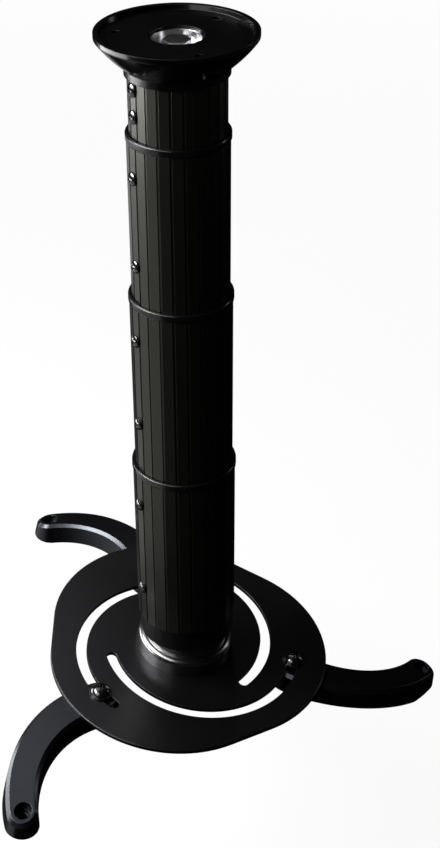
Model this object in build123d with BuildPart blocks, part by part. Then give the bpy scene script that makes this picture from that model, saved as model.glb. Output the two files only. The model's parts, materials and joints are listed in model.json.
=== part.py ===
from build123d import *
import os
from math import asin, cos, pi, radians, sin, sqrt, tan

# Projector ceiling mount: a flange under the ceiling, a column of four telescoping fluted tubes,
# a ball-jointed head with a slotted plate, and three curved arms that reach out to the projector.
# The origin is the middle of the ceiling face, and the mount hangs down along -Z.

os.makedirs("parts", exist_ok=True)

# Ceiling flange: a funnel with a shallow dish towards the ceiling and a hub recess in the middle
flange_radius = 42.0
rim_height = 2.6
rim_width = 2.8
rim_slope = 0.8
rim_rounding = 0.9
dish_depth = 2.5
cone_bulge_height = 0.7
neck_wall = 1.3
neck_depth = 21.5
tube_seat_depth = 17.5
hub_recess_radius = 14.2
hub_recess_depth = 11.0
ceiling_hole_count = 3
ceiling_hole_circle_diameter = 63.0
ceiling_hole_diameter = 4.5
ceiling_hole_angle = 50.0
ceiling_head_diameter = 8.0
ceiling_ledge = 4.0

# Hub: a bright cup in the recess and the bolt that draws the stem up against the flange
cup_clearance = 0.1
cup_wall = 1.2
cup_height = 7.0
hub_bolt_diameter = 8.0
hub_head_flats = 13.0
hub_head_height = 5.3
hub_nut_height = 6.5
hub_washer_diameter = 16.0
hub_washer_thickness = 1.5
bolt_end = 3.0

# Stem: the cup inside the first tube that its screws bite into
stem_clearance = 0.05
stem_web = 6.0
stem_wall = 5.0
stem_tail = 6.5

# Column: fluted tubes, each one a step wider than the one above it
tube_count = 4
tube_1_radius = 26.0
radius_step = 1.5
tube_clearance = 0.3
flute_count = 24
groove_width = 1.3
groove_depth = 0.5
tube_1_visible = 31.0
tube_2_visible = 94.5
tube_3_visible = 112.0
tube_4_visible = 114.0
tube_1_insertion = 81.5
tube_2_insertion = 88.0
tube_3_insertion = 62.0
collar_height = 4.5
collar_proud = 0.4
collar_rounding = 0.9

# Clamp screws: two heights on each tube, on both sides of the column
screw_angle = 209.5
screw_head_radius = 3.7
screw_head_height = 2.5
screw_head_edge = 0.9
screw_shank_radius = 2.0
screw_hole_clearance = 0.05
screw_tip_gap = 0.1
screw_bite = 4.0
tube_1_upper_screw = 4.7
tube_1_lower_screw = 19.0
tube_2_upper_screw = 21.5
tube_2_lower_screw = 72.5
tube_3_upper_screw = 24.0
tube_3_lower_screw = 79.0
tube_4_upper_screw = 24.5
plug_screw_rise = 25.5

# Cross recess in the heads, as a share of the head
recess_span = 0.95
recess_slot = 0.24
recess_depth = 0.5

# End plug: closes the lowest tube and carries the ball stud
plug_rise = 35.0
plug_cup_depth = 15.0
plug_cup_wall = 4.7
plug_lip_wall = 2.0
plug_lip_rise = 1.5

# Ball joint: the stud hangs from the plug, and the head tips on its ball
ball_drop = 16.6
ball_radius = 11.0
ball_neck_radius = 6.0
stud_radius = 5.0
stud_washer_diameter = 18.0
stud_washer_thickness = 1.6
stud_nut_flats = 16.0
stud_nut_height = 8.0
stud_end = 2.0
tip_limit = 15.0
head_tip_x = 3.7
head_tip_y = 7.3

# Ball seat: the plastic liner round the ball
seat_play = 0.15
seat_wall = 3.3
seat_mouth_angle = 52.0
seat_foot_angle = 135.0

# Socket bell: a domed top inside the plug and a glossy skirt on the plate
bell_gap = 0.4
bell_depth = 18.0
shoulder_radius = 4.2
shoulder_clearance = 0.6
skirt_flare = 0.4
pocket_play = 0.15
spigot_radius = 20.0
spigot_play = 0.1

# Socket cap: closes the bell from under the plate
cap_radius = 26.0
cap_thickness = 4.0
cap_boss_play = 0.1
cap_boss_drop = 4.5
cap_well_radius = 8.5
cap_well_depth = 14.0
cap_screw_count = 3
cap_screw_circle_diameter = 34.6
cap_screw_bite = 8.0
tension_screw_radius = 4.0
tension_head_radius = 6.5
tension_head_height = 6.0
tension_key_flats = 6.0
tension_key_depth = 3.5
tension_gap = 0.3
tension_rounding = 0.8

# Mounting plate: a rounded triangle of sheet with three arc slots that spiral outwards
plate_thickness = 2.5
lobe_radius = 76.7
lobe_centre_radius = 17.0
plate_edge_chamfer = 0.5
slot_count = 3
slot_width = 6.6
slot_edge_width = 15.9
slot_centre_radius = 11.8
slot_lead = 4.6
slot_start = 193.5
slot_sweep = 153.0

# Arms: curved castings, hollow underneath, that narrow and deepen towards the tip; a screw through
# their slot clamps them under the plate
arm_slot_places = (-14.0, -20.5, -25.0)
arm_turns = (6.1, 18.3, -0.7)
arm_reach = 91.5
arm_arc_radius = 71.0
arm_root_width = 24.5
arm_tip_width = 15.4
arm_draft = 6.0
arm_wall = 3.0
arm_root_thickness = 14.0
arm_root_run = 8.0
arm_tip_drop = 12.0
arm_tip_depth = 25.3
arm_tip_run = 8.0
arm_bevel = 2.0
arm_hole_diameter = 5.5
arm_counterbore_diameter = 10.4
arm_ledge = 8.0

# Arm screws
arm_screw_radius = 3.0
arm_screw_play = 0.1
arm_head_radius = 6.0
arm_head_height = 4.2
arm_head_edge = 1.0
arm_washer_diameter = 14.0
arm_washer_thickness = 1.2
arm_nut_flats = 10.0
arm_nut_height = 5.0
arm_screw_end = 1.5

# Heights down the column, from the ceiling at zero
collar_2_top = -neck_depth - tube_1_visible
collar_3_top = collar_2_top - tube_2_visible
collar_4_top = collar_3_top - tube_3_visible
column_end = collar_4_top - tube_4_visible
ball_height = column_end - ball_drop

tube_radii = [tube_1_radius + radius_step * step for step in range(tube_count)]
tube_bores = [radius - radius_step + tube_clearance for radius in tube_radii]
facet_shrink = cos(pi / flute_count)
tube_facets = [radius * facet_shrink for radius in tube_radii]
tube_tops = [-tube_seat_depth] + [top - collar_height for top in (collar_2_top, collar_3_top, collar_4_top)]
tube_ends = [
    collar_2_top - tube_1_insertion,
    collar_3_top - tube_2_insertion,
    collar_4_top - tube_3_insertion,
    column_end,
]
screw_heights = [
    (-neck_depth - tube_1_upper_screw, -neck_depth - tube_1_lower_screw),
    (collar_2_top - tube_2_upper_screw, collar_2_top - tube_2_lower_screw),
    (collar_3_top - tube_3_upper_screw, collar_3_top - tube_3_lower_screw),
    (collar_4_top - tube_4_upper_screw, column_end + plug_screw_rise),
]
screw_hole_radius = screw_shank_radius + screw_hole_clearance

# The head's own plane: its origin is the ball's centre, and it is tipped as the head stands
head = Plane((0, 0, ball_height)).rotated((head_tip_x, head_tip_y, 0))
head_axis = Axis(head.origin, head.z_dir)
head_section = Plane(head.origin, x_dir=head.x_dir, z_dir=-head.y_dir)
plate_top = -bell_depth
plate_under = plate_top - plate_thickness


def save(piece, name):
    """Label a finished piece and write it under its own name."""
    piece.part.label = name
    export_step(piece.part, f"parts/{name}.step")


def head_plane(x, y, z, turn=0.0):
    """A plane on the tipped head, at a place in the head's own frame."""
    return Plane(head.location * Location((x, y, z), (0, 0, turn)))


def radial_plane(distance, angle, height):
    """A plane across the column's radius, facing outwards."""
    away = (cos(radians(angle)), sin(radians(angle)), 0)
    return Plane((distance * away[0], distance * away[1], height), x_dir=(0, 0, 1), z_dir=away)


def button_screws(seats, lengths, head_radius, head_height, head_edge, shank_radius):
    """Revolve button-headed screws that sit on planes, with a cross recess in each head."""
    crown = head_height - head_edge
    crown_radius = (head_radius**2 + crown**2) / (2 * crown)
    halfway = head_height - crown_radius + sqrt(crown_radius**2 - head_radius**2 / 4)
    with BuildPart() as screws:
        for seat, length in zip(seats, lengths):
            with BuildSketch(Plane(seat.origin, x_dir=seat.x_dir, z_dir=-seat.y_dir)):
                with BuildLine():
                    Polyline((0, head_height), (0, -length), (shank_radius, -length), (shank_radius, 0))
                    Polyline((shank_radius, 0), (head_radius, 0), (head_radius, head_edge))
                    ThreePointArc((head_radius, head_edge), (head_radius / 2, halfway), (0, head_height))
                make_face()
            revolve(axis=Axis(seat.origin, seat.z_dir))
            with BuildSketch(seat.offset(head_height)):
                Rectangle(head_radius * recess_span, head_radius * recess_slot)
                Rectangle(head_radius * recess_slot, head_radius * recess_span)
            extrude(amount=-head_height * recess_depth, mode=Mode.SUBTRACT)
    return screws


def washer(seat, outside, hole_radius, thickness):
    """A flat washer that lies on a plane."""
    with BuildPart() as ring:
        with BuildSketch(seat):
            Circle(outside / 2)
            Circle(hole_radius, mode=Mode.SUBTRACT)
        extrude(amount=thickness)
    return ring


def hex_nut(seat, flats, hole_radius, height):
    """A hexagon nut that sits on a plane."""
    with BuildPart() as nut:
        with BuildSketch(seat):
            RegularPolygon(flats / 2, 6, major_radius=False)
            Circle(hole_radius, mode=Mode.SUBTRACT)
        extrude(amount=height)
    return nut


# Ceiling flange
neck_radius = tube_1_radius + stem_clearance + neck_wall
hub_bolt_radius = hub_bolt_diameter / 2
hub_hole_radius = hub_bolt_radius + stem_clearance
cone_middle = (
    (flange_radius + neck_radius) / 2 + cone_bulge_height * sqrt(0.5),
    -(rim_height + tube_seat_depth) / 2 - cone_bulge_height * sqrt(0.5),
)
with BuildPart() as ceiling_flange:
    with BuildSketch(Plane.XZ):
        with BuildLine():
            Polyline(
                (hub_hole_radius, -tube_seat_depth),
                (hub_hole_radius, -hub_recess_depth),
                (hub_recess_radius, -hub_recess_depth),
                (hub_recess_radius, -dish_depth),
                (flange_radius - rim_width - rim_slope, -dish_depth),
                (flange_radius - rim_width, 0),
                (flange_radius, 0),
                (flange_radius, -rim_height),
            )
            ThreePointArc((flange_radius, -rim_height), cone_middle, (neck_radius, -tube_seat_depth))
            Polyline(
                (neck_radius, -tube_seat_depth),
                (neck_radius, -neck_depth),
                (neck_radius - neck_wall, -neck_depth),
                (neck_radius - neck_wall, -tube_seat_depth),
                (hub_hole_radius, -tube_seat_depth),
            )
        make_face()
    revolve(axis=Axis.Z)
    rim_edges = ceiling_flange.edges().filter_by(GeomType.CIRCLE).sort_by(SortBy.RADIUS)[-2:]
    fillet(rim_edges, radius=rim_rounding)
    hole_places = PolarLocations(ceiling_hole_circle_diameter / 2, ceiling_hole_count, ceiling_hole_angle)
    with BuildSketch(Plane.XY.offset(-dish_depth)):
        with Locations(*hole_places.local_locations):
            Circle(ceiling_hole_diameter / 2)
    extrude(amount=-ceiling_ledge, mode=Mode.SUBTRACT)
    with BuildSketch(Plane.XY.offset(-dish_depth - ceiling_ledge)):
        with Locations(*hole_places.local_locations):
            Circle(ceiling_head_diameter / 2)
    extrude(amount=-neck_depth, mode=Mode.SUBTRACT)
save(ceiling_flange, "ceiling_flange")

# Hub cup
cup_radius = hub_recess_radius - cup_clearance
with BuildPart() as hub_cup:
    with BuildSketch(Plane.XY.offset(-hub_recess_depth)):
        Circle(cup_radius)
        Circle(hub_hole_radius, mode=Mode.SUBTRACT)
    extrude(amount=cup_height)
    with BuildSketch(Plane.XY.offset(-hub_recess_depth + cup_wall)):
        Circle(cup_radius - cup_wall)
    extrude(amount=cup_height, mode=Mode.SUBTRACT)
save(hub_cup, "hub_cup")

# Stem
stem_radius = tube_bores[0] - stem_clearance
stem_end = screw_heights[0][1] - stem_tail
stem_web_under = -tube_seat_depth - stem_web
with BuildPart() as flange_stem:
    with BuildSketch(Plane.XY.offset(-tube_seat_depth)):
        Circle(stem_radius)
    extrude(amount=stem_end + tube_seat_depth)
    with BuildSketch(Plane.XY.offset(stem_web_under)):
        Circle(stem_radius - stem_wall)
    extrude(amount=stem_end - stem_web_under, mode=Mode.SUBTRACT)
    with BuildSketch(Plane.XY.offset(-tube_seat_depth)):
        Circle(hub_hole_radius)
    extrude(amount=-stem_web, mode=Mode.SUBTRACT)
    for height in screw_heights[0]:
        with BuildSketch(radial_plane(0, screw_angle, height)):
            Circle(screw_hole_radius)
        extrude(amount=stem_radius + stem_wall, both=True, mode=Mode.SUBTRACT)
save(flange_stem, "flange_stem")

# Hub bolt, with its washer and nut under the stem's web
hub_head_seat = -hub_recess_depth + cup_wall
hub_nut_seat = stem_web_under - hub_washer_thickness
hub_bolt_end = hub_nut_seat - hub_nut_height - bolt_end
with BuildPart() as hub_bolt:
    with BuildSketch(Plane.XY.offset(hub_head_seat)):
        RegularPolygon(hub_head_flats / 2, 6, major_radius=False)
    extrude(amount=hub_head_height)
    with BuildSketch(Plane.XY.offset(hub_head_seat)):
        Circle(hub_bolt_radius)
    extrude(amount=hub_bolt_end - hub_head_seat)
save(hub_bolt, "hub_bolt")
save(
    washer(Plane.XY.offset(hub_nut_seat), hub_washer_diameter, hub_hole_radius, hub_washer_thickness),
    "hub_washer",
)
save(
    hex_nut(Plane.XY.offset(hub_nut_seat - hub_nut_height), hub_head_flats, hub_hole_radius, hub_nut_height),
    "hub_nut",
)

# Fluted tubes
for number in range(1, tube_count + 1):
    radius = tube_radii[number - 1]
    top = tube_tops[number - 1]
    length = top - tube_ends[number - 1]
    corner = screw_angle + 180 / flute_count
    with BuildPart() as tube:
        with BuildSketch(Plane.XY.offset(top)):
            RegularPolygon(radius, flute_count, rotation=corner)
            with PolarLocations(radius, flute_count, start_angle=corner):
                Rectangle(2 * groove_depth, groove_width, mode=Mode.SUBTRACT)
            Circle(tube_bores[number - 1], mode=Mode.SUBTRACT)
        extrude(amount=-length)
        for height in screw_heights[number - 1]:
            with BuildSketch(radial_plane(0, screw_angle, height)):
                Circle(screw_hole_radius)
            extrude(amount=2 * radius, both=True, mode=Mode.SUBTRACT)
    save(tube, f"tube_{number}")

# Collar rings on the upper ends of the three wider tubes
for number, top in ((2, collar_2_top), (3, collar_3_top), (4, collar_4_top)):
    with BuildPart() as collar:
        with BuildSketch(Plane.XY.offset(top)):
            Circle(tube_radii[number - 1] + collar_proud)
            Circle(tube_bores[number - 1], mode=Mode.SUBTRACT)
        extrude(amount=-collar_height)
        outer_edges = collar.edges().filter_by(GeomType.CIRCLE).sort_by(SortBy.RADIUS)[-2:]
        fillet(outer_edges, radius=collar_rounding)
    save(collar, f"collar_{number}")

# Clamp screws: those of the first tube bite into the stem and the lowest two into the end plug,
# and all the others press on the tube inside
for number in range(1, tube_count + 1):
    facet = tube_facets[number - 1]
    wall = facet - tube_bores[number - 1]
    press = facet - tube_facets[number - 2] - screw_tip_gap
    biting = wall + screw_bite
    upper_length = biting if number == 1 else press
    lower_length = biting if number in (1, tube_count) else press
    sides = (screw_angle, screw_angle + 180)
    clamp_screws = button_screws(
        [radial_plane(facet, side, height) for height in screw_heights[number - 1] for side in sides],
        [length for length in (upper_length, lower_length) for side in sides],
        screw_head_radius,
        screw_head_height,
        screw_head_edge,
        screw_shank_radius,
    )
    save(clamp_screws, f"tube_{number}_screws")

# End plug
plug_radius = tube_bores[3] - stem_clearance
plug_top = column_end + plug_rise
plug_floor = plug_top - plug_cup_depth
plug_lip = ball_height + plug_lip_rise
plug_hollow = plug_radius - plug_lip_wall
stud_hole_radius = stud_radius + stem_clearance
with BuildPart() as end_plug:
    with BuildSketch(Plane.XZ):
        with BuildLine():
            Polyline(
                (stud_hole_radius, ball_height + sqrt(plug_hollow**2 - stud_hole_radius**2)),
                (stud_hole_radius, plug_floor),
                (plug_radius - plug_cup_wall, plug_floor),
                (plug_radius - plug_cup_wall, plug_top),
                (plug_radius, plug_top),
                (plug_radius, plug_lip),
                (sqrt(plug_hollow**2 - plug_lip_rise**2), plug_lip),
            )
            ThreePointArc(
                (sqrt(plug_hollow**2 - plug_lip_rise**2), plug_lip),
                (plug_hollow * sqrt(0.5), ball_height + plug_hollow * sqrt(0.5)),
                (stud_hole_radius, ball_height + sqrt(plug_hollow**2 - stud_hole_radius**2)),
            )
        make_face()
    revolve(axis=Axis.Z)
    with BuildSketch(radial_plane(0, screw_angle, column_end + plug_screw_rise)):
        Circle(screw_hole_radius)
    extrude(amount=2 * plug_radius, both=True, mode=Mode.SUBTRACT)
save(end_plug, "end_plug")

# Ball stud, with its washer and nut in the plug's cup
stud_shoulder = ball_height + sqrt(plug_hollow**2 - ball_neck_radius**2) - stem_clearance
stud_nut_seat = plug_floor + stud_washer_thickness
stud_top = stud_nut_seat + stud_nut_height + stud_end
ball_neck_height = ball_height + sqrt(ball_radius**2 - ball_neck_radius**2)
with BuildPart() as ball_stud:
    with BuildSketch(Plane.XZ):
        with BuildLine():
            ThreePointArc(
                (0, ball_height - ball_radius),
                (ball_radius, ball_height),
                (ball_neck_radius, ball_neck_height),
            )
            Polyline(
                (ball_neck_radius, ball_neck_height),
                (ball_neck_radius, stud_shoulder),
                (stud_radius, stud_shoulder),
                (stud_radius, stud_top),
                (0, stud_top),
                (0, ball_height - ball_radius),
            )
        make_face()
    revolve(axis=Axis.Z)
save(ball_stud, "ball_stud")
save(
    washer(Plane.XY.offset(plug_floor), stud_washer_diameter, stud_hole_radius, stud_washer_thickness),
    "stud_washer",
)
save(hex_nut(Plane.XY.offset(stud_nut_seat), stud_nut_flats, stud_hole_radius, stud_nut_height), "stud_nut")


def on_ball(radius, angle):
    """A point of the head's section at a distance from the ball's centre and an angle from the top."""
    return (radius * sin(radians(angle)), radius * cos(radians(angle)))


# Ball seat
seat_inside = ball_radius + seat_play
seat_outside = seat_inside + seat_wall
seat_angles = (seat_mouth_angle, (seat_mouth_angle + seat_foot_angle) / 2, seat_foot_angle)
with BuildPart() as ball_seat:
    with BuildSketch(head_section):
        with BuildLine():
            inner_arc = ThreePointArc(*[on_ball(seat_inside, angle) for angle in seat_angles])
            outer_arc = ThreePointArc(*[on_ball(seat_outside, angle) for angle in seat_angles])
            Line(inner_arc @ 0, outer_arc @ 0)
            Line(inner_arc @ 1, outer_arc @ 1)
        make_face()
    revolve(axis=head_axis)
save(ball_seat, "ball_seat")

# Socket bell: its mouth lets the stud's neck tip as far as the limit, and its shoulder passes
# under the plug's lip
bell_radius = plug_hollow - bell_gap
pocket_radius = seat_outside + pocket_play
limit = radians(tip_limit)
mouth_radius = bell_radius * sin(limit + asin(ball_neck_radius / bell_radius))
throat_radius = pocket_radius * sin(limit + asin(ball_neck_radius / pocket_radius))
shoulder_drop = bell_radius * sin(limit - asin(plug_lip_rise / plug_hollow)) + shoulder_clearance
bell_waist = sqrt(bell_radius**2 - shoulder_drop**2)
shoulder_foot = -shoulder_drop - shoulder_radius
skirt_radius = bell_waist + shoulder_radius
cap_screw_hole = screw_shank_radius + screw_hole_clearance
with BuildPart() as socket_bell:
    with BuildSketch(head_section):
        with BuildLine():
            ThreePointArc(
                (mouth_radius, sqrt(bell_radius**2 - mouth_radius**2)),
                on_ball(bell_radius, 60),
                (bell_waist, -shoulder_drop),
            )
            ThreePointArc(
                (bell_waist, -shoulder_drop),
                (bell_waist + shoulder_radius * sqrt(0.5), shoulder_foot + shoulder_radius * sqrt(0.5)),
                (skirt_radius, shoulder_foot),
            )
            Polyline(
                (skirt_radius, shoulder_foot),
                (skirt_radius + skirt_flare, plate_top),
                (spigot_radius, plate_top),
                (spigot_radius, plate_under),
                (pocket_radius, plate_under),
                (pocket_radius, 0),
            )
            ThreePointArc(
                (pocket_radius, 0),
                on_ball(pocket_radius, 70),
                (throat_radius, sqrt(pocket_radius**2 - throat_radius**2)),
            )
            Line(
                (throat_radius, sqrt(pocket_radius**2 - throat_radius**2)),
                (mouth_radius, sqrt(bell_radius**2 - mouth_radius**2)),
            )
        make_face()
    revolve(axis=head_axis)
    with BuildSketch(head.offset(plate_under)):
        with PolarLocations(cap_screw_circle_diameter / 2, cap_screw_count):
            Circle(cap_screw_hole)
    extrude(amount=cap_screw_bite, mode=Mode.SUBTRACT)
save(socket_bell, "socket_bell")

# Socket cap
cap_under = plate_under - cap_thickness
cap_boss_radius = pocket_radius - cap_boss_play
cap_rim_radius = sqrt(pocket_radius**2 - cap_boss_drop**2)
cap_well_height = -sqrt(pocket_radius**2 - cap_well_radius**2)
tension_hole_radius = tension_screw_radius + screw_hole_clearance
with BuildPart() as socket_cap:
    with BuildSketch(head_section):
        with BuildLine():
            ThreePointArc(
                (cap_rim_radius, -cap_boss_drop),
                on_ball(pocket_radius, 125),
                (cap_well_radius, cap_well_height),
            )
            Polyline(
                (cap_well_radius, cap_well_height),
                (cap_well_radius, -cap_well_depth),
                (tension_hole_radius, -cap_well_depth),
                (tension_hole_radius, cap_under),
                (cap_radius, cap_under),
                (cap_radius, plate_under),
                (cap_boss_radius, plate_under),
                (cap_boss_radius, -cap_boss_drop),
                (cap_rim_radius, -cap_boss_drop),
            )
        make_face()
    revolve(axis=head_axis)
    with BuildSketch(head.offset(plate_under)):
        with PolarLocations(cap_screw_circle_diameter / 2, cap_screw_count):
            Circle(cap_screw_hole)
    extrude(amount=-cap_thickness, mode=Mode.SUBTRACT)
save(socket_cap, "socket_cap")

# Cap screws and the tension screw that tightens the ball
cap_screw_radius = cap_screw_circle_diameter / 2
cap_screw_angles = [radians(360 / cap_screw_count * index) for index in range(cap_screw_count)]
cap_screw_places = [
    (cap_screw_radius * cos(angle), cap_screw_radius * sin(angle), cap_under) for angle in cap_screw_angles
]
cap_screws = button_screws(
    [Plane(head.from_local_coords(spot), x_dir=head.x_dir, z_dir=-head.z_dir) for spot in cap_screw_places],
    [cap_thickness + cap_screw_bite] * cap_screw_count,
    screw_head_radius,
    screw_head_height,
    screw_head_edge,
    screw_shank_radius,
)
save(cap_screws, "cap_screws")
with BuildPart() as tension_screw:
    with BuildSketch(head.offset(-ball_radius - tension_gap)):
        Circle(tension_screw_radius)
    extrude(amount=cap_under + ball_radius + tension_gap)
    with BuildSketch(head.offset(cap_under)):
        Circle(tension_head_radius)
    extrude(amount=-tension_head_height)
    foot_edges = tension_screw.edges().filter_by(GeomType.CIRCLE).sort_by(head_axis)[0]
    fillet(foot_edges, radius=tension_rounding)
    with BuildSketch(head.offset(cap_under - tension_head_height)):
        RegularPolygon(tension_key_flats / 2, 6, major_radius=False)
    extrude(amount=tension_key_depth, mode=Mode.SUBTRACT)
save(tension_screw, "tension_screw")

# Mounting plate
slot_arc_radius = lobe_radius - slot_edge_width
slot_leads = [slot_lead + 360 / slot_count * index for index in range(slot_count)]
slot_centres = [
    (slot_centre_radius * cos(radians(lead)), slot_centre_radius * sin(radians(lead))) for lead in slot_leads
]
with BuildPart() as mounting_plate:
    with BuildSketch(head.offset(plate_under)):
        with PolarLocations(lobe_centre_radius, slot_count):
            Circle(lobe_radius)
        make_hull()
        Circle(spigot_radius + spigot_play, mode=Mode.SUBTRACT)
    extrude(amount=plate_thickness)
    outline_edges = mounting_plate.faces().sort_by(head_axis)[-1].outer_wire().edges()
    chamfer(outline_edges, length=plate_edge_chamfer)
    with BuildSketch(head.offset(plate_top)):
        for centre, lead in zip(slot_centres, slot_leads):
            with BuildLine(mode=Mode.PRIVATE) as slot_line:
                CenterArc(centre, slot_arc_radius, lead + slot_start, slot_sweep)
            SlotArc(slot_line.wire(), slot_width)
    extrude(amount=-plate_thickness, mode=Mode.SUBTRACT)
save(mounting_plate, "mounting_plate")

# Arms
arm_screw_hole = arm_screw_radius + arm_screw_play
arm_run = arm_reach - arm_root_run
arm_top_radius = (arm_run**2 + arm_tip_drop**2) / (2 * arm_tip_drop)
arm_end = arm_reach + arm_root_width
arm_end_drop = arm_top_radius - sqrt(arm_top_radius**2 - (arm_end - arm_root_run) ** 2)
arm_flare = arm_tip_depth * tan(radians(arm_draft))
root_foot_radius = arm_root_width / 2 + arm_flare
tip_foot_radius = arm_tip_width / 2 + arm_flare


def arm_plan(root_radius, tip_radius):
    """The plan of an arm: a round root and a round tip, joined by two arcs that are tangent to both."""
    slope = asin(arm_reach / 2 / arm_arc_radius)
    with BuildSketch() as plan:
        with BuildLine():
            long_edges = []
            for side in (1, -1):
                edge_radius = arm_arc_radius + side * (root_radius + tip_radius) / 2
                root_distance = edge_radius - side * root_radius
                tip_distance = edge_radius - side * tip_radius
                middle = (root_distance**2 - tip_distance**2 + arm_reach**2) / (2 * arm_reach)
                height = sqrt(root_distance**2 - middle**2)
                root_share = side * root_radius / root_distance
                tip_share = side * tip_radius / tip_distance
                long_edge = ThreePointArc(
                    (-middle * root_share, -height * root_share),
                    (middle, height - edge_radius),
                    (arm_reach + (arm_reach - middle) * tip_share, -height * tip_share),
                )
                long_edges.append(long_edge)
            outer, inner = long_edges
            root_back = (-root_radius * cos(slope), root_radius * sin(slope))
            tip_front = (arm_reach + tip_radius * cos(slope), tip_radius * sin(slope))
            ThreePointArc(outer @ 0, root_back, inner @ 0)
            ThreePointArc(outer @ 1, tip_front, inner @ 1)
        make_face()
    return plan.sketch


# One arm in a frame of its own, with its root at the origin: the walls lean outwards to the foot,
# and the core leaves a solid root and tip round the screws
arm_foot = Plane.XY.offset(-arm_tip_depth)
with BuildPart() as arm_core:
    with BuildSketch(arm_foot):
        add(arm_plan(root_foot_radius - arm_wall, tip_foot_radius - arm_wall))
    extrude(amount=arm_tip_depth, taper=arm_draft)
    with BuildSketch(Plane.XZ):
        with BuildLine():
            TangentArc((arm_root_run, -arm_wall), (arm_end, -arm_end_drop - arm_wall), tangent=(1, 0))
            Polyline(
                (arm_end, -arm_end_drop - arm_wall),
                (arm_end, -arm_tip_depth),
                (-arm_root_width, -arm_tip_depth),
                (-arm_root_width, -arm_wall),
                (arm_root_run, -arm_wall),
            )
        make_face()
    extrude(amount=arm_arc_radius, both=True, mode=Mode.INTERSECT)
    with BuildSketch(arm_foot):
        Circle(arm_root_width / 2)
        with Locations((arm_reach, 0)):
            Circle(tip_foot_radius)
    extrude(amount=arm_tip_depth, mode=Mode.SUBTRACT)
with BuildPart() as arm:
    with BuildSketch(arm_foot):
        add(arm_plan(root_foot_radius, tip_foot_radius))
    extrude(amount=arm_tip_depth, taper=arm_draft)
    with BuildSketch(Plane.XZ):
        with BuildLine():
            TangentArc((arm_root_run, 0), (arm_end, -arm_end_drop), tangent=(1, 0))
            Polyline(
                (arm_end, -arm_end_drop),
                (arm_end, -arm_tip_depth),
                (arm_reach - arm_tip_run, -arm_tip_depth),
            )
            TangentArc(
                (arm_root_run, -arm_root_thickness),
                (arm_reach - arm_tip_run, -arm_tip_depth),
                tangent=(1, 0),
            )
            Polyline(
                (arm_root_run, -arm_root_thickness),
                (-arm_root_width, -arm_root_thickness),
                (-arm_root_width, 0),
                (arm_root_run, 0),
            )
        make_face()
    extrude(amount=arm_arc_radius, both=True, mode=Mode.INTERSECT)
    top_edges = arm.faces().sort_by(Axis.Z)[-2:].edges()
    chamfer(top_edges.filter_by(GeomType.LINE, reverse=True), length=arm_bevel)
    add(arm_core.part, mode=Mode.SUBTRACT)
    with BuildSketch():
        Circle(arm_screw_hole)
        with Locations((arm_reach, 0)):
            Circle(arm_hole_diameter / 2)
    extrude(amount=-arm_tip_depth, mode=Mode.SUBTRACT)
    with BuildSketch():
        with Locations((arm_reach, 0)):
            Circle(arm_counterbore_diameter / 2)
    extrude(amount=arm_ledge - arm_tip_depth, mode=Mode.SUBTRACT)

# Arm screws with their washers and nuts, and the arms in their places
for index, (centre, lead) in enumerate(zip(slot_centres, slot_leads)):
    number = index + 1
    place = radians(lead + arm_slot_places[index])
    screw_x = centre[0] + slot_arc_radius * cos(place)
    screw_y = centre[1] + slot_arc_radius * sin(place)
    washer_top = plate_top + arm_washer_thickness
    nut_seat = plate_under - arm_root_thickness
    screw_tip = nut_seat - arm_nut_height - arm_screw_end

    arm_screw = button_screws(
        [head_plane(screw_x, screw_y, washer_top)],
        [washer_top - screw_tip],
        arm_head_radius,
        arm_head_height,
        arm_head_edge,
        arm_screw_radius,
    )
    save(arm_screw, f"arm_{number}_screw")
    washer_plane = head_plane(screw_x, screw_y, plate_top)
    arm_washer = washer(washer_plane, arm_washer_diameter, arm_screw_hole, arm_washer_thickness)
    save(arm_washer, f"arm_{number}_washer")
    nut_plane = head_plane(screw_x, screw_y, nut_seat - arm_nut_height)
    arm_nut = hex_nut(nut_plane, arm_nut_flats, arm_screw_hole, arm_nut_height)
    save(arm_nut, f"arm_{number}_nut")

    arm_plane = head_plane(screw_x, screw_y, plate_under, turn=lead + arm_turns[index])
    with BuildPart(arm_plane) as placed_arm:
        add(arm.part)
    save(placed_arm, f"arm_{number}")
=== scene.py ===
# %% [markdown]
# # A projector ceiling mount in black
# The mount is all black, so nothing about it can be told by colour alone: satin anodised tubes,
# gloss paint on the flange, powder coat on the plate and arms, black nickel on the bell and oiled
# screws differ only in how they catch the light. This lesson dresses the solid model with those
# finishes, and then lights it the way black goods are lit. The solids come in as a fixed frame,
# in metres, and none of them is moved or reshaped here.

# %% Load the frame
import json
from math import cos, radians, sin

import bpy
from mathutils import Matrix, Vector


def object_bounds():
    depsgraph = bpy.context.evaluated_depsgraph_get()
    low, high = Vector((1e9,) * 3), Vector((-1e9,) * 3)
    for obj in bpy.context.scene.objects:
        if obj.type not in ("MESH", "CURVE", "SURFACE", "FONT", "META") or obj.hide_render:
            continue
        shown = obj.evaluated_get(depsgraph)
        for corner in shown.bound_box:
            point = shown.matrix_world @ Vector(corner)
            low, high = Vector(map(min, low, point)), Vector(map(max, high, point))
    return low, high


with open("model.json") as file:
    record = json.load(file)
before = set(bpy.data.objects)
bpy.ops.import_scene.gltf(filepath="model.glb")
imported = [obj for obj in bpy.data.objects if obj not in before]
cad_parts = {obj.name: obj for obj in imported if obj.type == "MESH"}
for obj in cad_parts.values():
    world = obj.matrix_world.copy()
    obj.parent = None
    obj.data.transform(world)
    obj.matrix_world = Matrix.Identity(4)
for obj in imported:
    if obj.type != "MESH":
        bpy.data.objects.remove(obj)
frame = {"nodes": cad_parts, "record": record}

MM_PER_M = 1000
cad_low, cad_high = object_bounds()
nodes = frame["nodes"]
tall_mm = (cad_high - cad_low).z * MM_PER_M
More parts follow.
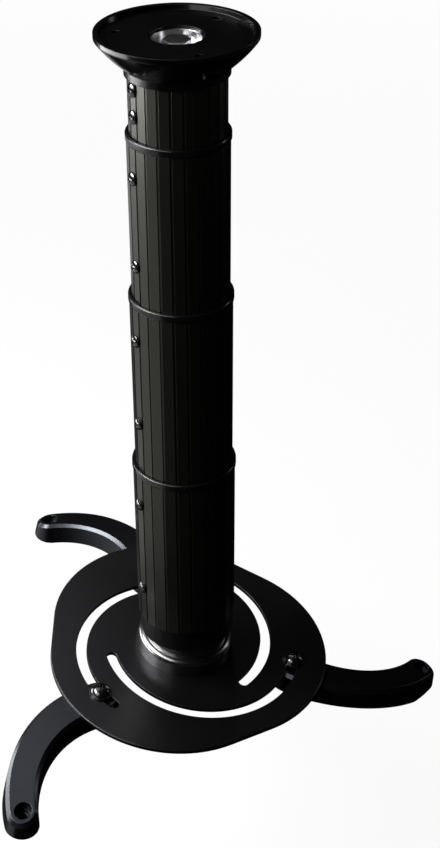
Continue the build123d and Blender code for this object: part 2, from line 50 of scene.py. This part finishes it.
print(f"{len(nodes)} pieces, {tall_mm:.0f} mm from the ceiling face to the lowest arm")

# %% [markdown]
# ## The camera
# The photograph is a close, steep view with strong perspective: the flange is much nearer than the
# plate. Instead of turning a camera until the picture looks right, its place was solved from known
# rings on the column, so it is written here as numbers. The lens follows from a focal length of
# 1490 pixels on a frame 848 pixels high, and the small shift puts the column left of the middle,
# as the photograph is cropped.

# %% Camera
FRAME_HEIGHT_PX = 848
FOCAL_PX = 1490
SHIFT_PX = 22.0
SENSOR_MM = 36.0
NEAREST_SEEN = 0.01
CAMERA_PLACE = (0.0085, -0.7226, 0.2519)
LOOK_DOWN_DEG = 34.04
ROLL_DEG = -0.6

camera_data = bpy.data.cameras.new("photo_camera")
camera_data.sensor_width = SENSOR_MM
camera_data.lens = FOCAL_PX * camera_data.sensor_width / FRAME_HEIGHT_PX
camera_data.shift_x = SHIFT_PX / FRAME_HEIGHT_PX
camera_data.clip_start = NEAREST_SEEN
camera = bpy.data.objects.new("photo_camera", camera_data)
camera.matrix_world = (
    Matrix.Translation(CAMERA_PLACE)
    @ Matrix.Rotation(radians(90 - LOOK_DOWN_DEG), 4, "X")
    @ Matrix.Rotation(radians(ROLL_DEG), 4, "Z")
)
bpy.context.scene.collection.objects.link(camera)
bpy.context.scene.camera = camera
away_m = Vector(CAMERA_PLACE).length
print(f"camera lens {camera_data.lens:.1f} mm, {away_m:.2f} m from the ceiling face")

# %% [markdown]
# ## Building node groups
# Every finish below needs the same few effects: edges that are slightly round, edges that are
# slightly worn, a fine grain and a roughness that wanders where hands have been. Each effect is a
# shader node group, built once, with named sockets, so that a material reads like a recipe.
# Four helpers keep the cells short: one places a node and fills its inputs with values or links,
# one opens a group with its sockets, one does a sum, and one tells where a point is.

# %% Helpers for node trees
def place(tree, kind, inputs=None, **settings):
    """Add a node, set its options, and fill its inputs with values or with other sockets."""
    made = tree.nodes.new(kind)
    for name, value in settings.items():
        setattr(made, name, value)
    for name, value in (inputs or {}).items():
        if isinstance(value, bpy.types.NodeSocket):
            tree.links.new(value, made.inputs[name])
        else:
            made.inputs[name].default_value = value
    return made


def open_group(name, inputs, outputs):
    """Start a node group: float inputs with their defaults, outputs with their socket types."""
    group = bpy.data.node_groups.new(name, "ShaderNodeTree")
    for label, value in inputs.items():
        socket = group.interface.new_socket(label, in_out="INPUT", socket_type="NodeSocketFloat")
        socket.default_value = value
    for label, kind in outputs.items():
        group.interface.new_socket(label, in_out="OUTPUT", socket_type=kind)
    given = group.nodes.new("NodeGroupInput").outputs
    result = group.nodes.new("NodeGroupOutput").inputs
    return group, given, result


def reckon(tree, operation, *values):
    """Place a Math node on values or sockets, and hand back its result."""
    inputs = dict(enumerate(values))
    return place(tree, "ShaderNodeMath", inputs, operation=operation).outputs["Value"]


def point_on_piece(tree):
    """Where a point is in the piece's own frame, so that a pattern moves with the piece."""
    return place(tree, "ShaderNodeTexCoord").outputs["Object"]


print("helpers ready: place, open_group, reckon, point_on_piece")

# %% [markdown]
# ## Soft edges
# No real edge is perfectly sharp, and on a black part the thin bright line along an edge is often
# all one sees of it. Modelling a tiny bevel on every edge would cost many faces. The Bevel node
# bends only the shading normal within a small radius, which is enough for a line of light.

# %% Group: soft edges
BEVEL_SAMPLES = 6
soft_edges, given, result = open_group(
    "soft_edges", {"Radius": 0.0004}, {"Normal": "NodeSocketVector"}
)
bevel = place(soft_edges, "ShaderNodeBevel", {"Radius": given["Radius"]}, samples=BEVEL_SAMPLES)
soft_edges.links.new(bevel.outputs["Normal"], result["Normal"])
print("group:", soft_edges.name)

# %% [markdown]
# ## Worn edges
# Paint rubs off at the edges first. The bent normal of a Bevel node, compared with the true one,
# tells where an edge is: their product is 1 on a flat and falls towards an edge. That gives a mask
# for rubbed paint. Noise breaks the mask up, because hands never wear evenly.

# %% Group: worn edges
EDGE_STARTS, EDGE_FULL = 0.995, 0.82
PATCH_SCALE, PATCH_DETAIL = 160.0, 4.0
PATCH_STARTS, PATCH_FULL = 0.35, 0.7
worn_edges, given, result = open_group(
    "worn_edges", {"Radius": 0.0006, "Amount": 0.5}, {"Mask": "NodeSocketFloat"}
)
bevel = place(worn_edges, "ShaderNodeBevel", {"Radius": given["Radius"]}, samples=BEVEL_SAMPLES)
surface = place(worn_edges, "ShaderNodeNewGeometry")
likeness = place(
    worn_edges, "ShaderNodeVectorMath",
    {0: bevel.outputs["Normal"], 1: surface.outputs["Normal"]}, operation="DOT_PRODUCT",
)
bend = place(
    worn_edges, "ShaderNodeMapRange",
    {"Value": likeness.outputs["Value"], "From Min": EDGE_STARTS, "From Max": EDGE_FULL},
)
patches = place(
    worn_edges, "ShaderNodeTexNoise",
    {"Vector": point_on_piece(worn_edges), "Scale": PATCH_SCALE, "Detail": PATCH_DETAIL},
)
broken = place(
    worn_edges, "ShaderNodeMapRange",
    {"Value": patches.outputs["Fac"], "From Min": PATCH_STARTS, "From Max": PATCH_FULL},
)
rubbed = reckon(worn_edges, "MULTIPLY", bend.outputs["Result"], broken.outputs["Result"])
mask = reckon(worn_edges, "MULTIPLY", rubbed, given["Amount"])
worn_edges.links.new(mask, result["Mask"])
print("group:", worn_edges.name)

# %% [markdown]
# ## Grain and handling
# Powder coat is melted onto the metal and keeps a fine orange peel, about half a millimetre from
# hump to hump; cast metal under paint has a coarser, softer skin. One noise texture gives both,
# with the scale left open as an input. Handling is a second, much larger noise that moves the
# roughness up and down a little about its own value, like faint wiping marks.

# %% Groups: grain and handling
GRAIN_ROUGHNESS = 0.55
WIPE_DETAIL = 5.0
NOISE_MIDDLE = 0.5
grain, given, result = open_group(
    "grain", {"Scale": 1800.0, "Detail": 2.0}, {"Height": "NodeSocketFloat"}
)
humps = place(
    grain, "ShaderNodeTexNoise",
    {
        "Vector": point_on_piece(grain), "Scale": given["Scale"],
        "Detail": given["Detail"], "Roughness": GRAIN_ROUGHNESS,
    },
)
grain.links.new(humps.outputs["Fac"], result["Height"])

handling, given, result = open_group(
    "handling", {"Roughness": 0.4, "Spread": 0.12, "Scale": 28.0},
    {"Roughness": "NodeSocketFloat"},
)
wiped = place(
    handling, "ShaderNodeTexNoise",
    {"Vector": point_on_piece(handling), "Scale": given["Scale"], "Detail": WIPE_DETAIL},
)
offset = reckon(handling, "SUBTRACT", wiped.outputs["Fac"], NOISE_MIDDLE)
wander = reckon(handling, "MULTIPLY_ADD", offset, given["Spread"], given["Roughness"])
handling.links.new(wander, result["Roughness"])
print("groups:", grain.name, handling.name)

# %% [markdown]
# ## Lines along the column
# The tubes are drawn through a die, which leaves faint straight lines along their whole length.
# A noise texture stretched along Z does it, but the stretch has to follow the tube's round: so the
# angle about the column's axis, found with an arctangent, is one coordinate, and the height is the
# other, scaled down until it hardly changes the noise.

# %% Group: drawn lines
LINE_SCALE, LINE_DETAIL = 1.0, 3.0
drawn_lines, given, result = open_group(
    "drawn_lines", {"Density": 90.0, "Stretch": 6.0}, {"Lines": "NodeSocketFloat"}
)
axes = place(drawn_lines, "ShaderNodeSeparateXYZ", {"Vector": point_on_piece(drawn_lines)}).outputs
angle = reckon(drawn_lines, "ARCTAN2", axes["Y"], axes["X"])
round_tube = reckon(drawn_lines, "MULTIPLY", angle, given["Density"])
along_tube = reckon(drawn_lines, "MULTIPLY", axes["Z"], given["Stretch"])
unrolled = place(drawn_lines, "ShaderNodeCombineXYZ", {"X": round_tube, "Y": along_tube})
lines = place(
    drawn_lines, "ShaderNodeTexNoise",
    {"Vector": unrolled.outputs["Vector"], "Scale": LINE_SCALE, "Detail": LINE_DETAIL},
)
drawn_lines.links.new(lines.outputs["Fac"], result["Lines"])
print("group:", drawn_lines.name)

# %% [markdown]
# ## A material from the groups
# The finishes share one skeleton: a Principled BSDF whose roughness comes from the handling group,
# whose colour goes from the finish to a marked tone by a mask, and whose normal is the soft edge
# with some height on it. Numbers that are the same all over, such as the coat or the specular
# level, are typed on the shader itself, where an exported model can read them.

# %% Helpers: the skeleton of a finish
# A Mix node set to colours has its factor and its two colours at these inputs, its result here.
MIX_FACTOR, MIX_PLAIN, MIX_MARKED, MIX_RESULT = 0, 6, 7, 2


def use(tree, group, **values):
    """Place a node group in a material with its own values."""
    made = tree.nodes.new("ShaderNodeGroup")
    made.node_tree = group
    for name, value in values.items():
        made.inputs[name].default_value = value
    return made.outputs


def start_finish(name, roughness, spread, edge_radius, **shader_values):
    """Make a material with handling and soft edges on its shader.

    Returns the material, its node tree, its shader and the normal of the soft edges.
    """
    material = bpy.data.materials.new(name)
    material.use_nodes = True
    tree = material.node_tree
    shader = tree.nodes["Principled BSDF"]
    for label, value in shader_values.items():
        shader.inputs[label.replace("_", " ")].default_value = value
    handled = use(tree, handling, Roughness=roughness, Spread=spread)
    tree.links.new(handled["Roughness"], shader.inputs["Roughness"])
    edge = use(tree, soft_edges, Radius=edge_radius)
    tree.links.new(edge["Normal"], shader.inputs["Normal"])
    return material, tree, shader, edge["Normal"]


def tint(tree, shader, mask, plain, marked):
    """Colour the shader from plain to marked by a mask."""
    inputs = {MIX_FACTOR: mask, MIX_PLAIN: (*plain, 1), MIX_MARKED: (*marked, 1)}
    mix = place(tree, "ShaderNodeMix", inputs, data_type="RGBA")
    tree.links.new(mix.outputs[MIX_RESULT], shader.inputs["Base Color"])


def raise_height(tree, shader, height, normal, distance, strength):
    """Bump the shader's normal with a height on top of the soft edges."""
    inputs = {"Height": height, "Normal": normal, "Distance": distance, "Strength": strength}
    bump = place(tree, "ShaderNodeBump", inputs)
    tree.links.new(bump.outputs["Normal"], shader.inputs["Normal"])


print("helpers ready: use, start_finish, tint, raise_height")

# %% [markdown]
# ## Anodised tubes
# Black anodising is a dyed oxide on bare aluminium. It stays satin, takes a faintly warm grey where
# the light is strong, and shows the drawn lines of the extrusion both as tone and as tiny grooves.
# The flat facets between the flutes are in the solids, so here only the skin is made.

# %% Finish: satin anodised tubes
satin_tube, tree, shader, edge = start_finish(
    "satin_anodised_tube", roughness=0.30, spread=0.10, edge_radius=0.00025,
    Specular_Tint=(1.0, 0.99, 0.86, 1),
)
lines = use(tree, drawn_lines, Density=70.0, Stretch=4.0)
tint(
    tree, shader, lines["Lines"],
    plain=(0.0030, 0.0030, 0.0026), marked=(0.0052, 0.0051, 0.0045),
)
raise_height(tree, shader, lines["Lines"], edge, distance=0.00004, strength=0.5)
print("finish:", satin_tube.name)

# %% [markdown]
# ## Gloss paint on the flange
# The flange is a turned part with a smooth stoved paint. A gloss black shows almost nothing but
# reflections, so its colour is nearly black and the shine with a thin clear coat does the work; a
# very soft grain keeps the reflections from looking like glass.

# %% Finish: gloss paint
gloss_paint, tree, shader, edge = start_finish(
    "gloss_black_paint", roughness=0.22, spread=0.06, edge_radius=0.0005,
    Specular_IOR_Level=0.2, Coat_Weight=0.15, Coat_Roughness=0.06,
)
worn = use(tree, worn_edges, Radius=0.0008, Amount=0.35)
tint(tree, shader, worn["Mask"], plain=(0.0010, 0.0010, 0.0011), marked=(0.03, 0.03, 0.031))
peel = use(tree, grain, Scale=700.0, Detail=1.0)
raise_height(tree, shader, peel["Height"], edge, distance=0.00003, strength=0.4)
print("finish:", gloss_paint.name)

# %% [markdown]
# ## Collar rings
# The thin rings where one tube leaves the next are moulded in a hard gloss plastic. They are
# smoother than the tubes and have no drawn lines, which is what makes them stand out as a sharp
# black band.

# %% Finish: collar plastic
collar_plastic, tree, shader, edge = start_finish(
    "gloss_collar_plastic", roughness=0.2, spread=0.08, edge_radius=0.0003,
    Specular_IOR_Level=0.5,
)
worn = use(tree, worn_edges, Radius=0.0004, Amount=0.25)
tint(tree, shader, worn["Mask"], plain=(0.0030, 0.0030, 0.0031), marked=(0.02, 0.02, 0.0205))
print("finish:", collar_plastic.name)

# %% [markdown]
# ## Black screws
# The screws are steel with a thin black oxide, slightly oily. The oil lies on them like a clear
# coat: the domes give one hard, bright highlight. The rims and the recess are rubbed to grey by the
# screwdriver.

# %% Finish: black oxide
black_oxide, tree, shader, edge = start_finish(
    "black_oxide_screw", roughness=0.18, spread=0.1, edge_radius=0.0003,
    Specular_IOR_Level=0.6, Coat_Weight=0.8, Coat_Roughness=0.05,
)
worn = use(tree, worn_edges, Radius=0.0005, Amount=0.6)
tint(tree, shader, worn["Mask"], plain=(0.0036, 0.0036, 0.0036), marked=(0.06, 0.059, 0.058))
print("finish:", black_oxide.name)

# %% [markdown]
# ## Powder coat on the plate and the arms
# The plate is cut from sheet and the arms are castings, both sprayed with the same satin black
# powder. The grain is finer and flatter on the sheet, and coarser on the castings, whose tone is
# also a trace bluer in the photograph. The plug at the end of the column is a duller black of the
# same kind. One function makes all three, with the differences as its arguments.

# %% Finish: powder coats
def powder_coat(name, plain, rubbed, grain_scale, grain_depth, roughness, sheen_tone):
    """A powder coat: orange peel, wandering roughness and edges rubbed to a paler tone."""
    material, tree, shader, edge = start_finish(
        name, roughness, spread=0.1, edge_radius=0.0005, Specular_Tint=(*sheen_tone, 1)
    )
    worn = use(tree, worn_edges, Radius=0.0007, Amount=0.5)
    tint(tree, shader, worn["Mask"], plain, rubbed)
    peel = use(tree, grain, Scale=grain_scale, Detail=2.0)
    raise_height(tree, shader, peel["Height"], edge, grain_depth, strength=0.6)
    print("finish:", name)
    return material


plate_powder = powder_coat(
    "satin_plate_powder", plain=(0.0018, 0.0018, 0.0019), rubbed=(0.04, 0.04, 0.041),
    grain_scale=2200.0, grain_depth=0.00002, roughness=0.30, sheen_tone=(0.92, 0.92, 1.0),
)
arm_powder = powder_coat(
    "satin_arm_powder", plain=(0.0022, 0.0022, 0.0027), rubbed=(0.04, 0.04, 0.043),
    grain_scale=1300.0, grain_depth=0.00003, roughness=0.26, sheen_tone=(0.82, 0.87, 1.0),
)
plug_black = powder_coat(
    "matte_plug_black", plain=(0.0012, 0.0012, 0.0012), rubbed=(0.006, 0.006, 0.006),
    grain_scale=2600.0, grain_depth=0.00003, roughness=0.45, sheen_tone=(0.4, 0.4, 0.4),
)

# %% [markdown]
# ## Plated and bare metal
# The cup and bolt in the flange's hub are brightly plated, and the bell and its cap are plated in
# black nickel, which mirrors like metal but keeps only about a quarter of the light. The nuts and
# the stud inside are zinc-plated steel, and the stem in the first tube is bare aluminium. A metal
# is fully metallic, so its colour is the colour of its reflection; a fine grain in that colour
# makes it look plated and not polished.

# %% Finish: plated and bare metals
def bare_metal(name, plain, dull, roughness):
    """A plated or turned metal whose tone is mottled by a fine grain."""
    material, tree, shader, edge = start_finish(
        name, roughness, spread=0.14, edge_radius=0.0004, Metallic=1.0
    )
    mottle = use(tree, grain, Scale=420.0, Detail=4.0)
    tint(tree, shader, mottle["Height"], plain, dull)
    raise_height(tree, shader, mottle["Height"], edge, distance=0.00002, strength=0.4)
    print("finish:", name)
    return material


bright_plating = bare_metal(
    "bright_hub_plating", plain=(0.80, 0.80, 0.81), dull=(0.71, 0.71, 0.73), roughness=0.18
)
black_nickel = bare_metal(
    "black_nickel_bell", plain=(0.30, 0.30, 0.295), dull=(0.25, 0.25, 0.245), roughness=0.24
)
zinc_steel = bare_metal(
    "zinc_plated_steel", plain=(0.72, 0.72, 0.73), dull=(0.55, 0.55, 0.57), roughness=0.24
)
turned_aluminium = bare_metal(
    "turned_aluminium", plain=(0.62, 0.62, 0.63), dull=(0.48, 0.48, 0.49), roughness=0.32
)

# %% [markdown]
# ## The liner
# The ball turns in a pale plastic liner. It is hidden once the bell is closed, but it is still a
# piece of the mount, so it gets a satin plastic with the slight mottle of a moulding.

# %% Finish: liner plastic
liner_plastic, tree, shader, edge = start_finish(
    "pale_liner_plastic", roughness=0.42, spread=0.1, edge_radius=0.0003
)
mottle = use(tree, grain, Scale=300.0, Detail=3.0)
tint(tree, shader, mottle["Height"], plain=(0.70, 0.69, 0.65), marked=(0.62, 0.61, 0.57))
print("finish:", liner_plastic.name)

# %% [markdown]
# ## Dressing the pieces
# Each piece of the frame has one material slot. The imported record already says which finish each
# piece was meant to have, so the pieces are dressed by those names instead of a long list of
# pieces. Only the two pieces in the hub are brighter than the other steel.

# %% Dress every piece
finish_of_slot = {
    "flange_black": gloss_paint,
    "anodised": satin_tube,
    "collar": collar_plastic,
    "black_screw": black_oxide,
    "stem": turned_aluminium,
    "steel": zinc_steel,
    "plug": plug_black,
    "liner": liner_plastic,
    "bell": black_nickel,
    "plate": plate_powder,
    "arm": arm_powder,
}
finish_of_piece = {"hub_cup": bright_plating, "hub_bolt": bright_plating}
dressed = set()
for subpart in frame["record"]["subparts"]:
    slot_finish = finish_of_slot[subpart["material_slot"]]
    finish = finish_of_piece.get(subpart["node"], slot_finish)
    piece = nodes[subpart["node"]]
    piece.data.materials.clear()
    piece.data.materials.append(finish)
    dressed.add(finish.name)

# %% [markdown]
# ## Floor
# The photograph is cut out on pure white. The mount hangs, so the floor is a pale plane some way
# below the lowest arm, far enough for the column to run out to its full length above it. To rays
# from the camera, and to mirror-like reflections, it glows with a strength near 1, which is white;
# the rest is an ordinary diffuse surface, so that it keeps a soft shadow. Far from the mount it is
# all glow, so that no horizon shows against the world.

# %% Floor
FLOOR_DROP = 0.125
FLOOR_HALF = 6.0
FLOOR_TONE = (0.9, 0.9, 0.9, 1)
WHITE = (1, 1, 1, 1)
GLOW_NEAR, GLOW_FAR = 0.93, 1.0
FADE_FROM, FADE_TO = 0.9, 2.4


def rays_that_see_white(tree):
    """1 for camera, glossy and transmission rays, 0 for rays that carry light to the object."""
    path = place(tree, "ShaderNodeLightPath").outputs
    first = reckon(tree, "MAXIMUM", path["Is Camera Ray"], path["Is Glossy Ray"])
    return reckon(tree, "MAXIMUM", first, path["Is Transmission Ray"])


def stage_plane(name, corners):
    """A flat stage piece with the given corners."""
    mesh = bpy.data.meshes.new(name)
    mesh.from_pydata(corners, [], [tuple(range(len(corners)))])
    plane = bpy.data.objects.new(name, mesh)
    bpy.context.scene.collection.objects.link(plane)
    return plane


floor_height = cad_low.z - FLOOR_DROP
square = ((-1, -1), (1, -1), (1, 1), (-1, 1))
floor = stage_plane("floor", [(x * FLOOR_HALF, y * FLOOR_HALF, floor_height) for x, y in square])
floor_paper = bpy.data.materials.new("white_floor_paper")
floor_paper.use_nodes = True
tree = floor_paper.node_tree
tree.nodes.remove(tree.nodes["Principled BSDF"])
paper = place(tree, "ShaderNodeBsdfDiffuse", {"Color": FLOOR_TONE})
glow = place(tree, "ShaderNodeEmission", {"Color": WHITE, "Strength": 1.0})
spot = place(tree, "ShaderNodeNewGeometry").outputs["Position"]
away = place(tree, "ShaderNodeVectorMath", {0: spot}, operation="LENGTH").outputs["Value"]
fade = place(
    tree, "ShaderNodeMapRange",
    {
        "Value": away, "From Min": FADE_FROM, "From Max": FADE_TO,
        "To Min": GLOW_NEAR, "To Max": GLOW_FAR,
    },
)
share = reckon(tree, "MULTIPLY", rays_that_see_white(tree), fade.outputs["Result"])
both = place(tree, "ShaderNodeMixShader", {0: share, 1: paper.outputs[0], 2: glow.outputs[0]})
tree.links.new(both.outputs[0], tree.nodes["Material Output"].inputs["Surface"])
floor.data.materials.append(floor_paper)
print(f"floor at {floor_height * MM_PER_M:.0f} mm, {FLOOR_DROP * MM_PER_M:.0f} mm under the arms")

# %% [markdown]
# ## World
# The world behind the floor is white in the same way, for the rays that see it. As a lamp it is
# dim, because a bright sky would fill every shadow and turn the black part grey.

# %% World
WORLD_DIM, WORLD_WHITE = 0.15, 1.0
world = bpy.data.worlds.new("white_studio")
bpy.context.scene.world = world
world.use_nodes = True
tree = world.node_tree
tree.nodes.remove(tree.nodes["Background"])
dim = place(tree, "ShaderNodeBackground", {"Color": WHITE, "Strength": WORLD_DIM})
white = place(tree, "ShaderNodeBackground", {"Color": WHITE, "Strength": WORLD_WHITE})
both = place(
    tree, "ShaderNodeMixShader",
    {0: rays_that_see_white(tree), 1: dim.outputs[0], 2: white.outputs[0]},
)
tree.links.new(both.outputs[0], tree.nodes["World Output"].inputs["Surface"])
print("world:", world.name)

# %% [markdown]
# ## Black cards
# In a white room a black gloss part turns grey, because it mirrors the room. Photographers hang
# black cards round it and leave a gap where they want light. The cards here stand on all four
# sides, above and on the floor, with one gap high on the left. No camera ray sees them and they
# cast no shadow, but reflections and bounced light end on them.

# %% Cards
CARD_REACH = 2.0
CARD_GAP_END = -0.9
CARD_TONE = (0.004, 0.004, 0.004, 1)
SHEET_GAP = 0.001
card_black = bpy.data.materials.new("black_card")
card_black.use_nodes = True
card_inputs = card_black.node_tree.nodes["Principled BSDF"].inputs
card_inputs["Base Color"].default_value = CARD_TONE
card_inputs["Roughness"].default_value = 1.0
card_inputs["Specular IOR Level"].default_value = 0.0
table = floor_height + SHEET_GAP


def standing_card(x_first, y_first, x_last, y_last):
    """Corners of a card that stands on the table from one place to another."""
    feet = [(x_first, y_first, table), (x_last, y_last, table)]
    return feet + [(x_last, y_last, CARD_REACH), (x_first, y_first, CARD_REACH)]


cards = {
    "card_table": [(x * CARD_REACH, y * CARD_REACH, table) for x, y in square],
    "card_right": standing_card(CARD_REACH, -CARD_REACH, CARD_REACH, CARD_REACH),
    "card_back": standing_card(-CARD_REACH, CARD_REACH, CARD_REACH, CARD_REACH),
    "card_front": standing_card(-CARD_REACH, -CARD_REACH, CARD_REACH, -CARD_REACH),
    "card_left": standing_card(-CARD_REACH, -CARD_REACH, -CARD_REACH, CARD_REACH),
    "card_top": [
        (CARD_GAP_END, -CARD_REACH, CARD_REACH),
        (CARD_GAP_END, CARD_REACH, CARD_REACH),
        (CARD_REACH, CARD_REACH, CARD_REACH),
        (CARD_REACH, -CARD_REACH, CARD_REACH),
    ],
}
for name, corners in cards.items():
    card = stage_plane(name, corners)
    card.data.materials.append(card_black)
    card.visible_camera = False
    card.visible_shadow = False
    card.visible_transmission = False
print(f"{len(cards)} black cards")

# %% [markdown]
# ## White boards on the floor
# The camera looks down, so every upright face of the tubes mirrors the floor. What shows the
# fluting in the photograph is therefore a white board lying on the left: the facets that face it
# turn grey and the others stay black. The board is a piece of a ring about the column, so each tube
# sees the same of it. A second piece lies further out behind it, and a dimmer one far out on the
# right, where only a lower camera sees it in the tubes. Only mirror-like rays see the boards.

# %% Boards
RING_STEPS = 12


def ring_piece(near, far, first_deg, last_deg):
    """Corners of a piece of a ring on the table, about the column's axis, between two angles."""
    span = last_deg - first_deg
    sweep = [radians(first_deg + span * step / RING_STEPS) for step in range(RING_STEPS + 1)]
    edge = [(near, angle) for angle in sweep] + [(far, angle) for angle in reversed(sweep)]
    return [(reach * cos(angle), reach * sin(angle), table + SHEET_GAP) for reach, angle in edge]


def lay_board(name, corners, strength):
    """A glowing board on the table that only mirror-like rays see."""
    finish = bpy.data.materials.new(name)
    finish.use_nodes = True
    tree = finish.node_tree
    glow = place(tree, "ShaderNodeEmission", {"Color": WHITE, "Strength": strength})
    tree.links.new(glow.outputs[0], tree.nodes["Material Output"].inputs["Surface"])
    board = stage_plane(name, corners)
    board.data.materials.append(finish)
    board.visible_camera = False
    board.visible_diffuse = False
    board.visible_shadow = False
    board.visible_transmission = False
    return board


left_ring = ring_piece(near=0.32, far=1.41, first_deg=140, last_deg=225)
back_ring = ring_piece(near=0.82, far=1.41, first_deg=85, last_deg=140)
right_ring = ring_piece(near=1.74, far=1.99, first_deg=-95, last_deg=85)
boards = [
    lay_board("board_left", left_ring, strength=0.62),
    lay_board("board_back", back_ring, strength=0.6),
    lay_board("board_right_far", right_ring, strength=0.25),
]
print("boards:", ", ".join(board.name for board in boards))

# %% [markdown]
# ## Soft lamps
# A bevel on a black part is seen only where it mirrors a lamp. So the lamps are set where the
# bevels look: one high on the left for the long white line on the back arm, one low on the left
# for the outer edge of the front arm. A large weak lamp above and behind gives the plate and the
# arms their grey sheen, and two weak ones open up the front and the right, so that the mount reads
# from every side.

# %% Lamps
def soft_lamp(name, place_at, aim, size, watts, tone=(1, 1, 1)):
    """A rectangular soft lamp that points at a place on the mount."""
    data = bpy.data.lights.new(name, "AREA")
    data.shape = "RECTANGLE"
    data.size, data.size_y = size
    data.energy = watts
    data.color = tone
    lamp = bpy.data.objects.new(name, data)
    lamp.location = place_at
    looks_along = Vector(aim) - Vector(place_at)
    lamp.rotation_euler = looks_along.to_track_quat("-Z", "Y").to_euler()
    bpy.context.scene.collection.objects.link(lamp)
    return lamp


lamps = [
    soft_lamp(
        "key_high", place_at=(-0.85, -0.05, 0.45), aim=(-0.05, 0.08, -0.4),
        size=(0.9, 0.28), watts=24.0,
    ),
    soft_lamp(
        "key_low", place_at=(-0.82, 0.08, -0.28), aim=(-0.1, -0.05, -0.41),
        size=(0.9, 0.13), watts=4.7,
    ),
    soft_lamp(
        "key_front", place_at=(-0.55, -0.75, 0.45), aim=(0, 0, -0.3),
        size=(0.6, 0.5), watts=3.0,
    ),
    soft_lamp(
        "top_sheen", place_at=(-0.24, 0.48, 0.75), aim=(-0.24, 0.48, -0.4),
        size=(0.62, 1.2), watts=2.8,
    ),
    soft_lamp(
        "right_strip", place_at=(1.5, 0.6, 0.1), aim=(0, 0, -0.25),
        size=(0.25, 0.8), watts=1.2, tone=(0.96, 0.98, 1.0),
    ),
]
print("lamps:", ", ".join(lamp.name for lamp in lamps))

# %% [markdown]
# ## View transform
# The dressed model keeps the size of the solids.
# The view transform is the plain one, which shows colours as they are written.

# %% View transform
bpy.context.scene.view_settings.view_transform = "Standard"
bpy.context.view_layer.update()
